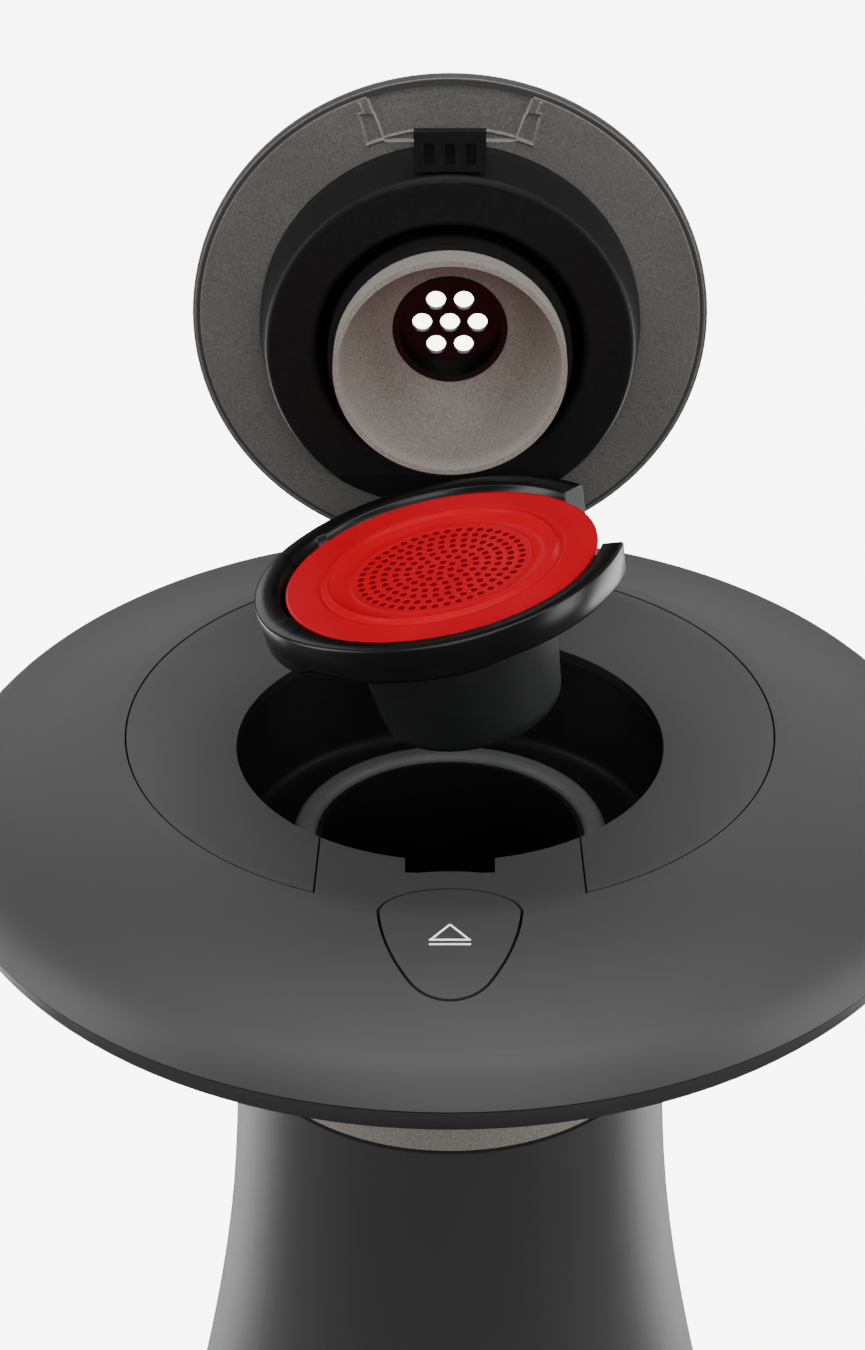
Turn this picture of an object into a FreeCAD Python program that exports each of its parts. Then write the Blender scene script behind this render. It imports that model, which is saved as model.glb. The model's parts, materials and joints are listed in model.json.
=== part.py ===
import FreeCAD, Part
import math
import os
import re
import Sketcher

# A pod coffee machine: a flat round head on a flaring stem, a lid hinged at the back of the
# head, and a pod in its holder lifted out of the brewing chamber.
# Millimetres, +Z up, origin under the middle of the stem at the level the feet rest on.
# Front is -Y: the spout, the cup and the drip tray are there. The tank is at +Y.

SIZES = {
    # head
    "crest_z": 292, "crest_rad": 70, "mouth_rad": 46.3, "mouth_drop": 5.2,
    "head_rad": 111, "rim_drop": 17, "dome_rad": 103.1, "dome_drop": 9.2,
    "dome_arc": 84, "shoulder_arc": 17, "belly_rad": 101.5, "belly_drop": 26.8,
    "belly_arc": 10.5, "under_rad": 67.8, "under_drop": 29.6, "under_arc": 146,
    "wall": 2.6, "seam": 0.4, "sector_half": 26.5, "notch_half": 9.1, "notch_front": 52,
    # collar and stem
    "groove_rad": 48.75, "groove_z": 212.4, "collar_arc": 75, "neck_rad": 49.3,
    "mid_rad": 52.3, "mid_z": 160, "low_rad": 56.8, "low_z": 128.5,
    "foot_rad": 88, "foot_z": 7, "neck_arc": 570, "mid_arc": 530, "flare_arc": 790,
    # brewing chamber
    "floor_z": 258.9, "bead_top": 264.1, "bead_out": 34.7, "well_rad": 28.5,
    "well_bottom": 224, "nozzle_rad": 4, "seat_z": 267.2,
    # lid, drawn closed
    "rim_z": 291, "lid_rad": 57, "pivot_y": 64.2, "pivot_z": 294.95, "open_angle": 88.2,
    "boss_base": 42, "boss_out": 40.3, "boss_in": 28.9, "boss_drop": 14.4, "lid_top": 14,
    "cover_hole": 17, "bell_rad": 25.2, "bell_drop": 23.4, "bell_top": 12.7,
    "vent_rad": 2.2, "vent_pitch": 6.15, "hook_half": 7.55, "hook_reach": 49.6,
    "pin_rad": 1.5, "knuckle_rad": 4,
    # eject button
    "button_half": 13.7, "button_shoulder": 70.5, "button_back": 61, "button_front": 93,
    "button_gap": 0.6,
    # pod and its holder, drawn seated in the chamber
    "ring_rad": 39.3, "ring_in": 35.6, "ring_high": 8, "ledge_in": 25, "ledge_thick": 1.2,
    "pod_rad": 33, "pod_sheet": 0.8, "pod_top": 23.5, "pod_low": 19.3, "pod_deep": 36,
    # cup niche, drip tray, spout
    "niche_rad": 36, "niche_y": 75, "niche_top": 122, "niche_wall": 2.4, "tray_rad": 33,
    "tray_top": 24, "spout_y": 75,
    # tank bay and services
    "tank_half": 39.5, "tank_front": 14, "tank_low": 50, "tank_high": 196, "tank_wall": 2.2,
    "bay_gap": 0.5, "plate_y": 9, "panel_y": 66, "panel_low": 10, "panel_high": 46,
}
# The pod holder's place when lifted out: where its rim centre goes from the seated place,
# and the upward direction that it then faces.
LIFT = FreeCAD.Vector(-2.0, -4.4, 65.5)
FACING = FreeCAD.Vector(-0.2025, 0.0395, 0.9785)

V = FreeCAD.Vector
UP = V(0, 0, 1)
doc = FreeCAD.newDocument("PodCoffeeMachine")
sheet = doc.addObject("Spreadsheet::Sheet", "dims")
for row, (alias, value) in enumerate(SIZES.items(), 1):
    sheet.set("A%d" % row, alias)
    sheet.set("B%d" % row, str(value))
    sheet.setAlias("B%d" % row, alias)
doc.recompute()

NODES = {}


def bound(text):
    """The expression with each size's name pointed at the sheet."""
    return re.sub(r"[a-z_]+", lambda m: "dims." + m[0] if m[0] in SIZES else m[0], str(text))


def size(text):
    """The value of an expression on the sheet's sizes."""
    return float(sheet.evalExpression(bound(text)))


def keep(label, obj, placement=None):
    """Names a finished sub-part, and places it."""
    obj.Label = label
    if placement:
        obj.Placement = placement
    NODES[label] = obj
    return obj


def origin_plane(body, role):
    return [f for f in body.Origin.OriginFeatures if f.Role == role][0]


def sketch(body, plane="XY_Plane", offset=0):
    """A sketch on one of the body's own planes, moved along the plane's normal."""
    sk = body.newObject("Sketcher::SketchObject", body.Name + "Sketch")
    sk.AttachmentSupport = (origin_plane(body, plane), [""])
    sk.MapMode = "FlatFace"
    sk.setExpression("AttachmentOffset.Base.z", bound(offset))
    doc.recompute()
    return sk


def tie(sk, edge, point, x, y):
    """Binds a point of a sketch to two expressions."""
    for kind, axis, text in (("DistanceX", -2, x), ("DistanceY", -1, y)):
        value = size(text)
        if abs(value) < 1e-9:
            sk.addConstraint(Sketcher.Constraint("PointOnObject", edge, point, axis))
        else:
            k = sk.addConstraint(Sketcher.Constraint(kind, -1, 1, edge, point, value))
            sk.setExpression("Constraints[%d]" % k, bound(text))


def outline(sk, corners):
    """A closed outline. A corner is (x, y), or (x, y, radius) where an arc leaves it: the
    arc's centre is on the left of the way round if the radius is positive."""
    count = len(corners)
    points = [V(size(c[0]), size(c[1]), 0) for c in corners]
    edges = []
    for i, corner in enumerate(corners):
        start, end = points[i], points[(i + 1) % count]
        if len(corner) == 2:
            edge = Part.LineSegment(start, end)
        else:
            radius = size(corner[2])
            middle = (start + end) * 0.5
            left = V(start.y - end.y, end.x - start.x, 0).normalize()
            side = math.copysign(1, radius)
            rise = math.sqrt(max(radius ** 2 - (end - start).Length ** 2 / 4, 0))
            centre = middle + left * rise * side
            edge = Part.Arc(start, centre - left * abs(radius) * side, end)
        edges.append(sk.addGeometry(edge, False))

    def point_at(i, place):
        return 1 if (sk.getPoint(edges[i], 1) - place).Length < 1e-5 else 2

    ends = [(point_at(i, points[i]), point_at(i, points[(i + 1) % count])) for i in range(count)]
    for i in range(count):
        j = (i + 1) % count
        sk.addConstraint(Sketcher.Constraint("Coincident", edges[i], ends[i][1],
                                             edges[j], ends[j][0]))
    for i, corner in enumerate(corners):
        tie(sk, edges[i], ends[i][0], corner[0], corner[1])
        if len(corner) == 3:
            k = sk.addConstraint(Sketcher.Constraint("Radius", edges[i], abs(size(corner[2]))))
            sk.setExpression("Constraints[%d]" % k, bound("abs(%s)" % corner[2]))
    return sk


def circle(sk, radius, x=0, y=0):
    """A circle with its centre and radius bound."""
    edge = sk.addGeometry(Part.Circle(V(size(x), size(y), 0), UP, size(radius)), False)
    if size(x) == 0 and size(y) == 0:
        sk.addConstraint(Sketcher.Constraint("Coincident", edge, 3, -1, 1))
    else:
        tie(sk, edge, 3, x, y)
    k = sk.addConstraint(Sketcher.Constraint("Radius", edge, size(radius)))
    sk.setExpression("Constraints[%d]" % k, bound(radius))
    return sk


def box_outline(sk, x0, y0, x1, y1):
    return outline(sk, [(x0, y0), (x1, y0), (x1, y1), (x0, y1)])


def new_body(label):
    return doc.addObject("PartDesign::Body", label)


def turned(label, corners):
    """A body of revolution about Z from an outline of (radius, height) corners."""
    body = new_body(label)
    sk = outline(sketch(body, "XZ_Plane"), corners)
    spin = body.newObject("PartDesign::Revolution", label + "Turn")
    spin.Profile = sk
    spin.ReferenceAxis = (sk, ["V_Axis"])
    spin.Angle = 360
    sk.Visibility = False
    doc.recompute()
    return body


def pad(body, sk, length, down=False):
    feature = body.newObject("PartDesign::Pad", body.Name + "Pad")
    feature.Profile = sk
    feature.setExpression("Length", bound(length))
    feature.Reversed = down
    doc.recompute()
    return feature


def pocket(body, sk, length, other_way=False):
    """A cut of one sketch, which has to take something away."""
    before = body.Shape.Volume
    feature = body.newObject("PartDesign::Pocket", body.Name + "Pocket")
    feature.Profile = sk
    feature.setExpression("Length", bound(length))
    feature.Reversed = other_way
    doc.recompute()
    if not body.Shape.Volume < before - 1e-3:
        raise RuntimeError("a pocket in %s cuts nothing" % body.Label)
    return feature


def polar(body, feature, count):
    """Repeats a feature around Z."""
    pattern = body.newObject("PartDesign::PolarPattern", body.Name + "Polar")
    pattern.Originals = [feature]
    pattern.Axis = (origin_plane(body, "Z_Axis"), [""])
    pattern.Angle = 360
    pattern.Occurrences = count
    body.Tip = pattern
    doc.recompute()
    return pattern


def padded(label, draw, low, length, plane="XY_Plane"):
    """A body padded upwards from one sketch, which draw fills in."""
    body = new_body(label)
    sk = sketch(body, plane, low)
    draw(sk)
    pad(body, sk, length)
    return body


def rod(name, radius, height, at=(0, 0, 0), along=UP):
    """A Part cylinder from a point along a direction."""
    obj = doc.addObject("Part::Cylinder", name)
    obj.setExpression("Radius", bound(radius))
    obj.setExpression("Height", bound(height))
    obj.Placement = FreeCAD.Placement(V(*[size(a) for a in at]), FreeCAD.Rotation(UP, V(*along)))
    return obj


def block(name, corner, spans):
    """A Part box from its low corner and its three spans."""
    obj = doc.addObject("Part::Box", name)
    for side, span in zip(("Length", "Width", "Height"), spans):
        obj.setExpression(side, bound(span))
    for axis, place in zip("xyz", corner):
        obj.setExpression("Placement.Base." + axis, bound(place))
    return obj


def fused(name, *parts):
    obj = doc.addObject("Part::MultiFuse", name)
    obj.Shapes = list(parts)
    return obj


def cut(name, base, tool):
    obj = doc.addObject("Part::Cut", name)
    obj.Base, obj.Tool = base, tool
    return obj


def common(name, base, tool):
    obj = doc.addObject("Part::Common", name)
    obj.Base, obj.Tool = base, tool
    return obj


def group(name, parts):
    """Like pieces that share one node as separate solids."""
    obj = doc.addObject("Part::Compound", name)
    obj.Links = list(parts)
    return obj


def hose(label, points, outer, inner, bend):
    """A hollow tube along straight runs with rounded corners."""
    path = [V(*p) for p in points]
    edges = []
    last = path[0]
    for before, corner, after in zip(path, path[1:], path[2:]):
        a, b = (before - corner).normalize(), (after - corner).normalize()
        half = a.getAngle(b) / 2
        reach = bend / math.tan(half)
        middle = corner + (a + b).normalize() * (bend / math.sin(half) - bend)
        edges.append(Part.LineSegment(last, corner + a * reach).toShape())
        edges.append(Part.Arc(corner + a * reach, middle, corner + b * reach).toShape())
        last = corner + b * reach
    edges.append(Part.LineSegment(last, path[-1]).toShape())
    wire = Part.Wire(edges)
    start = (path[1] - path[0]).normalize()
    tubes = [Part.Wire(wire.Edges).makePipeShell([Part.Wire(Part.makeCircle(r, path[0], start))], True,
                                                 True)
             for r in (outer, inner)]
    obj = doc.addObject("Part::Feature", label)
    obj.Shape = tubes[0].cut(tubes[1])
    return keep(label, obj)


# ---------------------------------------------------------------- head shells
TOP = "crest_z - "
DOME = [("mouth_rad", TOP + "mouth_drop"), ("crest_rad - 3", "crest_z - 0.66", "-19.1"),
        ("crest_rad + 3", "crest_z - 0.25", "-dome_arc"),
        ("dome_rad", TOP + "dome_drop", "-shoulder_arc"), ("head_rad", TOP + "rim_drop")]


def dome_layer(label, thick):
    """The dome from the mouth to the rim as a turned wall of one thickness."""
    return turned(label, DOME + [
        ("head_rad - (%s)" % thick, TOP + "rim_drop", "shoulder_arc - (%s)" % thick),
        ("dome_rad - (%s) * 0.45" % thick, TOP + "dome_drop - (%s) * 0.9" % thick,
         "dome_arc - (%s)" % thick),
        ("crest_rad - 0.3", "crest_z - (%s)" % thick),
        ("mouth_rad", TOP + "mouth_drop - (%s)" % thick)])


def panel_outline(sk, inner, outer, half):
    """A C: a ring open at the front between two straight edges."""
    x, low, high = size(half), size(inner), size(outer)
    turn = [math.asin(x / r) for r in (low, high)]
    front = -math.pi / 2
    arcs = [sk.addGeometry(Part.ArcOfCircle(Part.Circle(V(), UP, r), front + t, front - t + 2 * math.pi),
                           False) for r, t in zip((low, high), turn)]
    for arc, text in zip(arcs, (inner, outer)):
        sk.addConstraint(Sketcher.Constraint("Coincident", arc, 3, -1, 1))
        k = sk.addConstraint(Sketcher.Constraint("Radius", arc, size(text)))
        sk.setExpression("Constraints[%d]" % k, bound(text))
    for end, side in ((1, 1), (2, -1)):
        edge = sk.addGeometry(Part.LineSegment(sk.getPoint(arcs[0], end), sk.getPoint(arcs[1], end)), False)
        sk.addConstraint(Sketcher.Constraint("Coincident", edge, 1, arcs[0], end))
        sk.addConstraint(Sketcher.Constraint("Coincident", edge, 2, arcs[1], end))
        sk.addConstraint(Sketcher.Constraint("Vertical", edge))
        k = sk.addConstraint(Sketcher.Constraint("DistanceX", -1, 1, edge, 1, side * x))
        sk.setExpression("Constraints[%d]" % k, bound("%d * (%s)" % (side, half)))
    return sk


def button_outline(sk, grow):
    """The button's shield: a round back, shoulders at the crest and a rounded front."""
    wide, back = "button_half + %s" % grow, "-button_back + %s" % grow
    side = "-button_shoulder"
    flank, nose = "36 + %s" % grow, "9 + %s" % grow
    low_x, low_y = "button_half - 6.4 + %s * 0.8" % grow, "-button_front + 4 - %s * 0.6" % grow
    return outline(sk, [(wide, side, "14.63 + %s" % grow), ("0", back, "14.63 + %s" % grow),
                        ("-(%s)" % wide, side, flank), ("-(%s)" % low_x, low_y, nose),
                        (low_x, low_y, flank)])


upper = dome_layer("HeadUpper", "wall")
pocket(upper, panel_outline(sketch(upper, offset="crest_z + 5"), "mouth_rad - 1", "crest_rad",
                            "sector_half"), "20")
pocket(upper, outline(sketch(upper, offset="crest_z + 5"), [
    ("-notch_half", "-notch_front - 0.8"), ("-6.3", "-notch_front - 0.8", "-22.5"),
    ("6.3", "-notch_front - 0.8"), ("notch_half", "-notch_front - 0.8"), ("notch_half", "-30"),
    ("-notch_half", "-30")]), "20")
pocket(upper, button_outline(sketch(upper, offset="crest_z + 5"), "button_gap"), "30")
keep("head_upper_shell", upper)

panel = turned("TopPanel", [
    ("mouth_rad", TOP + "mouth_drop + 0.05"), ("crest_rad - 3", "crest_z - 0.71", "-19.1"),
    ("crest_rad - seam", "crest_z - 0.33"),
    ("crest_rad - seam", "crest_z - wall"), ("mouth_rad", TOP + "mouth_drop - wall")])
pocket(panel, box_outline(sketch(panel, offset="crest_z + 5"), "-sector_half - seam", "-80",
                          "sector_half + seam", "-20"), "20")
pocket(panel, box_outline(sketch(panel, offset="crest_z + 5"), "-16.3", "pivot_y - 5.8", "16.3",
                          "pivot_y + 8"), "20")
keep("top_panel", panel)

lower = turned("HeadLower", [
    ("head_rad - 0.2", TOP + "rim_drop - seam"), ("head_rad - 2.8", TOP + "rim_drop - seam"),
    ("head_rad - 4", TOP + "rim_drop - seam"), ("head_rad - 4", TOP + "rim_drop + 1.4"),
    ("head_rad - 5.4", TOP + "rim_drop + 1.4"), ("head_rad - 5.4", TOP + "rim_drop - 3"),
    ("belly_rad - 1.4", TOP + "belly_drop + wall", "under_arc"),
    ("under_rad", TOP + "under_drop + wall"), ("under_rad", TOP + "under_drop", "-under_arc"),
    ("belly_rad", TOP + "belly_drop", "belly_arc")])
keep("head_lower_shell", lower)

# ---------------------------------------------------------------- brewing chamber
liner = turned("ChamberLiner", [
    ("mouth_rad", TOP + "mouth_drop - wall - 0.1"), ("crest_rad - 0.5", "crest_z - wall - 0.25"),
    ("crest_rad - 0.5", "crest_z - wall - 2.2"), ("mouth_rad + 2.4", TOP + "mouth_drop - wall - 2.2"),
    ("mouth_rad + 2.4", "floor_z - 2.4"), ("well_rad + 2.6", "floor_z - 2.4"),
    ("well_rad + 2.6", "floor_z"), ("mouth_rad - 2.5", "floor_z", "2.5"), ("mouth_rad", "floor_z + 2.5")])
# Room for the lid's hook and the catch, and for the button to sink.
pocket(liner, box_outline(sketch(liner, offset="crest_z + 5"), "-notch_half", "-60", "notch_half", "-30"),
       "20.5")
pocket(liner, box_outline(sketch(liner, offset="crest_z + 5"), "-button_half - 1.8", "-80",
                          "button_half + 1.8", "-button_back + 2.5"), "20")
keep("chamber_liner", liner)
keep("seat_ring", turned("SeatRing", [
    ("well_rad + 1.2", "floor_z"), ("bead_out", "floor_z"), ("bead_out", "bead_top - 1.8", "1.8"),
    ("bead_out - 1.8", "bead_top"), ("well_rad + 3", "bead_top", "1.8"),
    ("well_rad + 1.2", "bead_top - 1.8")]))
keep("brew_well", turned("BrewWell", [
    ("well_rad", "bead_top - 1.9"), ("well_rad", "well_bottom + 5", "-5"), ("well_rad - 5", "well_bottom"),
    ("nozzle_rad", "well_bottom"), ("nozzle_rad", "well_bottom - 2.4"),
    ("well_rad - 3", "well_bottom - 2.4", "5.4"), ("well_rad + 2.4", "well_bottom + 3"),
    ("well_rad + 2.4", "floor_z"), ("well_rad + 1.1", "floor_z"), ("well_rad + 1.1", "bead_top - 1.9")]))
keep("outlet_nozzle", turned("OutletNozzle", [
    ("1.2", "well_bottom - 8"), ("nozzle_rad - 0.9", "well_bottom - 8"), ("nozzle_rad - 0.9",
                                                                          "well_bottom - 2.6"),
    ("nozzle_rad - 0.02", "well_bottom - 2.6"), ("nozzle_rad - 0.02", "well_bottom"),
    ("nozzle_rad + 3", "well_bottom"), ("nozzle_rad + 3", "well_bottom + 1.2"),
    ("2.2", "well_bottom + 5"), ("1.2", "well_bottom + 5")]))

# ---------------------------------------------------------------- collar and stem
collar = turned("NeckCollar", [
    ("groove_rad", "groove_z", "-collar_arc"), ("under_rad - 0.1", TOP + "under_drop"),
    ("under_rad - 0.1", TOP + "under_drop + 2"), ("under_rad - 2.8", TOP + "under_drop + 2", "collar_arc"),
    ("groove_rad - 2.3", "groove_z")])
SPOUT_BARB = "253"
pocket(collar, circle(sketch(collar, "XZ_Plane"), "3.1", "0", SPOUT_BARB), "90", True)
keep("neck_collar", collar)


def stem_side(inset):
    """The stem's flare from the foot to the neck, moved in by one thickness."""
    return [("foot_rad - (%s)" % inset, "foot_z", "-flare_arc"),
            ("low_rad - (%s)" % inset, "low_z", "-mid_arc"),
            ("mid_rad - (%s)" % inset, "mid_z", "-neck_arc"), ("neck_rad - (%s)" % inset, "groove_z - 0.6")]


inner_side = [("neck_rad - wall - 2", "groove_z - 4"), ("neck_rad - wall", "groove_z - 6", "neck_arc"),
              ("mid_rad - wall", "mid_z", "mid_arc"), ("low_rad - wall", "low_z", "flare_arc"),
              ("foot_rad - wall", "foot_z")]
stem = turned("Stem", stem_side("0") + [
    ("groove_rad - 2.6", "groove_z - 0.6"), ("groove_rad - 2.6", "groove_z + 5"),
    ("neck_rad - wall - 2", "groove_z + 5")] + inner_side)
pocket(stem, circle(sketch(stem, offset="niche_top"), "niche_rad", "0", "-niche_y"), "niche_top")
pocket(stem, box_outline(sketch(stem, "XZ_Plane"), "-tank_half - bay_gap", "tank_low - bay_gap",
                         "tank_half + bay_gap", "tank_high + bay_gap"), "120")
pocket(stem, box_outline(sketch(stem, "XZ_Plane"), "-38", "panel_low", "38", "panel_high"), "120")
keep("stem_shell", stem)


def stem_core(label, inset):
    """The stem's outer shape as a solid, moved in by one thickness."""
    return turned(label, stem_side(inset) + [("0", "groove_z - 0.6"), ("0", "foot_z")])


niche_tube = cut("NicheTube", rod("NicheOut", "niche_rad - 0.1", "niche_top - foot_z - 0.1",
                                  ("0", "-niche_y", "foot_z")),
                 rod("NicheIn", "niche_rad - niche_wall", "niche_top - foot_z - niche_wall",
                     ("0", "-niche_y", "foot_z")))
keep("niche_liner", common("NicheLiner", niche_tube, stem_core("NicheLimit", "0.2")))

plate = fused("BasePlate", rod("BaseDisc", "foot_rad - 1", "3.4", ("0", "0", "3.5")),
              rod("BaseTongue", "niche_rad", "3.4", ("0", "-niche_y", "3.5")))
SCREWS = [(-30, 2), (30, 2), (-62, -20), (62, -20)]
plate = cut("BasePlateHoles", plate, group("BaseHoles", [
    rod("BaseHole", "1.9", "10", (str(x), str(y), "0")) for x, y in SCREWS]))
keep("base_plate", plate)
keep("base_screws", group("BaseScrews", [
    fused("BaseScrew", rod("ScrewHead", "3.2", "1.4", (str(x), str(y), "2.1")),
          rod("ScrewShank", "1.7", "9", (str(x), str(y), "2.5"))) for x, y in SCREWS]))
keep("rubber_feet", group("Feet", [rod("Foot", "7", "3.5", (str(x), str(y), "0"))
                                   for x, y in ((-55, 45), (55, 45), (-66, -38), (66, -38), (-18, -95),
                                                (18, -95))]))

# ---------------------------------------------------------------- tank bay and chassis
bay_out = block("TankOut", ("-tank_half", "tank_front", "tank_low"),
                ("2 * tank_half", "90", "tank_high - tank_low"))
bay_in = block("TankIn", ("-tank_half + tank_wall", "tank_front + tank_wall", "tank_low + tank_wall"),
               ("2 * (tank_half - tank_wall)", "90", "tank_high - tank_low"))
tank_solid = common("TankSolid", stem_core("TankLimit", "0.05"), bay_out)
tank_room = common("TankRoom", stem_core("TankRoomLimit", "tank_wall + 0.4"), bay_in)
tank_port = rod("TankPortHole", "3", "6", ("0", "tank_front - 2", "tank_low + 12"), (0, 1, 0))
keep("water_tank", cut("WaterTank", cut("TankHollow", tank_solid, tank_room), tank_port))
lid_core = common("TankLidCore", stem_core("TankLidLimit", "tank_wall + 0.8"),
                  block("TankLidBox", ("-tank_half + tank_wall + 0.4", "tank_front + tank_wall + 0.4",
                                       "tank_high - 4"),
                        ("2 * (tank_half - tank_wall - 0.4)", "90", "3")))
keep("tank_lid", cut("TankLid", lid_core, rod("FillHole", "9", "20", ("0", "34", "tank_high - 10"))))
valve = cut("TankValve", fused("ValveOut", rod("ValveStem", "2.95", "tank_wall + 3.5",
                                               ("0", "tank_front - 3.5", "tank_low + 12"), (0, 1, 0)),
            rod("ValveHead", "5", "1.6", ("0", "tank_front + tank_wall", "tank_low + 12"), (0, 1, 0))),
            rod("ValveBore", "1.4", "20", ("0", "tank_front - 8", "tank_low + 12"), (0, 1, 0)))
keep("tank_valve", valve)

chassis = fused("Chassis", block("ChassisPlate", ("-36", "plate_y - 3", "foot_z"), ("72", "3", "193")),
                block("ChassisFoot", ("-36", "-6", "foot_z"), ("72", "plate_y + 3", "4")))
chassis = cut("ChassisHoles", chassis, group("ChassisDrill", [
    rod("ChassisHole", "1.75", "12", (str(x), str(y), "foot_z - 3")) for x, y in SCREWS[:2]]
    + [rod("DockHole", "6.1", "12", ("0", "plate_y - 6", "tank_low + 12"), (0, 1, 0))]))
keep("chassis_frame", chassis)
dock = cut("TankDock", fused("DockOut", rod("DockTube", "6", "8", ("0", "plate_y - 7", "tank_low + 12"),
                                            (0, 1, 0)),
                             rod("DockFlange", "9", "2", ("0", "plate_y", "tank_low + 12"), (0, 1, 0))),
           fused("DockBores", rod("DockBore", "3.4", "6", ("0", "plate_y - 2", "tank_low + 12"), (0, 1, 0)),
                 rod("DockPort", "2", "12", ("0", "plate_y - 8", "tank_low + 12"), (0, 1, 0))))
keep("tank_dock", dock)
keep("bay_floor", block("BayFloor", ("-38.5", "plate_y + 0.2", "tank_low - 3.4"), ("77", "50", "2.4")))

rear = cut("RearPanel", block("RearPlate", ("-37.7", "panel_y", "panel_low + 0.2"),
                              ("75.4", "2.5", "panel_high - panel_low - 0.4")),
           fused("RearCuts", block("InletCut", ("-31", "panel_y - 5", "18"), ("28", "12", "20")),
                 block("SwitchCut", ("9", "panel_y - 5", "18"), ("20", "12", "20"))))
keep("rear_panel", rear)
inlet = cut("PowerInlet", fused("InletOut", block("InletBody", ("-30.8", "panel_y - 18", "18.2"),
                                                  ("27.6", "20.5", "19.6")),
                                block("InletFlange", ("-33", "panel_y + 2.5", "16"), ("32", "1.4", "24"))),
            block("InletWell", ("-29", "panel_y - 14", "20"), ("24", "30", "16")))
pins = [block("InletPin", (str(x), "panel_y - 17", "26"), ("1.6", "13", "4")) for x in (-24.5, -17.8,
                                                                                        -11.1)]
keep("power_inlet", fused("PowerInletPins", inlet, *pins))
switch = cut("SwitchHousing", fused("SwitchOut", block("SwitchBody", ("9.2", "panel_y - 14", "18.2"),
                                                       ("19.6", "16.5", "19.6")),
                                    block("SwitchFlange", ("7.5", "panel_y + 2.5", "16.5"),
                                          ("23", "1.4", "23"))),
             block("SwitchWell", ("11", "panel_y - 9", "20"), ("16", "20", "16")))
keep("power_switch_housing", switch)
rocker_mid = FreeCAD.Placement(V(11.4, size("panel_y") - 0.5, 28), FreeCAD.Rotation(V(0, 1, 0), 90))
rocker = padded("Rocker", lambda sk: outline(sk, [("-7.2", "1"), ("-7.2", "6.4", "-22"), ("7.2", "4.4"),
                                                  ("7.2", "0"), ("0", "-4")]), "0", "15.2")
keep("power_rocker", rocker, rocker_mid)

# ---------------------------------------------------------------- pump, heater, meter, board
keep("pump_body", fused("PumpBody", rod("PumpCoil", "15.5", "34", ("-19", "-17", "70")),
                        rod("PumpTube", "7", "62", ("-19", "-17", "56")),
                        rod("PumpPort", "3", "8", ("-19", "-17", "118"))))
keep("pump_mounts", group("PumpMounts", [cut("PumpMount", rod("MountOut", "11", "4",
                                                              ("-19", "-17", str(z))),
                                             rod("MountIn", "7.1", "9",
                                                 ("-19", "-17", str(z - 2)))) for z in (60, 109)]))
heater = fused("Heater", block("HeaterBlock", ("5", "-32", "60"), ("30", "28", "54")),
               rod("HeaterIn", "3", "6", ("12", "-18", "54")), rod("HeaterOut", "3", "6",
                                                                   ("27", "-18", "114")))
fins = [block("HeaterSlot", ("3", "-33", str(64 + 6 * i)), ("5.5", "30", "3")) for i in range(8)]
keep("thermoblock", cut("Thermoblock", heater, group("HeaterSlots", fins)))
meter = cut("FlowMeter", fused("MeterOut", rod("MeterCase", "12", "14", ("20", "-16", "22")),
                               rod("MeterPort", "3", "6", ("20", "-16", "36"))),
            rod("MeterRoom", "10", "10", ("20", "-16", "24")))
keep("flow_meter_body", meter)
rotor = fused("Rotor", rod("RotorHub", "2.5", "8", ("20", "-16", "25")),
              *[block("RotorBlade", ("20 - %s" % (9 if i else 0.5), "-16 - %s" % (0.5 if i else 9), "26"),
                      ("18" if i else "1", "1" if i else "18", "6")) for i in range(2)])
keep("flow_meter_rotor", rotor)
keep("control_board", fused("ControlBoard", block("BoardSheet", ("-30", "2", "132"), ("60", "1.6", "60")),
                            block("BoardSupply", ("-26", "-14", "136"), ("24", "16.5", "22")),
                            block("BoardRelay", ("6", "-10", "140"), ("18", "12.5", "15")),
                            rod("BoardCan", "5", "12.5", ("14", "-10", "175"), (0, 1, 0))))
keep("lid_switch", block("LidSwitch", ("20", "76", "271"), ("14", "6", "9")))

# ---------------------------------------------------------------- hoses and spout
hose("inlet_hose", [(0, 2, 62), (0, -7, 62), (6, -10, 50), (20, -16, 48), (20, -16, 42)], 2.6, 1.6, 2.6)
hose("pump_hose", [(-19, -17, 126), (-19, -17, 134), (-4, -22, 134), (-2, -34, 120), (0, -36, 62),
                   (4, -30, 44), (12, -18, 42), (12, -18, 53.8)], 2.4, 1.5, 3.2)
hose("hot_hose", [(27, -18, 120), (27, -18, 130), (40, -6, 144), (40, 2, 206), (35, 24, 224), (42, 32, 254),
                  (44, 40, 272), (34, 70, 274)], 2.4, 1.5, 4)
hose("brew_hose", [(0, 0, 216), (0, 0, 208), (0, -28, 208), (0, -42, 224), (0, -44.5, 253),
                   (0, -57, 253)], 3, 2, 4)
SPOUT = FreeCAD.Placement(V(0, -size("spout_y"), 0), FreeCAD.Rotation())
spout = turned("SpoutBody", [("0", "251"), ("9", "251"), ("11.5", "crest_z - under_drop - 0.3"),
                             ("0", "crest_z - under_drop - 0.3")])
spout.Placement = SPOUT
spout = fused("SpoutSolid", cut("SpoutTrim", spout, collar),
              rod("SpoutBarb", "3", "12", ("0", "-57.1", SPOUT_BARB), (0, -1, 0)),
              rod("SpoutTip", "1.9", "14", ("0", "-51", SPOUT_BARB), (0, -1, 0)))
keep("spout_body", cut("SpoutBored", spout, fused(
    "SpoutBores", rod("SpoutWay", "1.2", "23", ("0", "-50", SPOUT_BARB), (0, -1, 0)),
    rod("SpoutDrop", "1.6", "6", ("0", "-spout_y", "249")))))
keep("spout_nozzle", turned("SpoutNozzle", [("1.6", "247"), ("4.2", "247"), ("6", "251"),
                                            ("1.6", "251")]), SPOUT)

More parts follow.
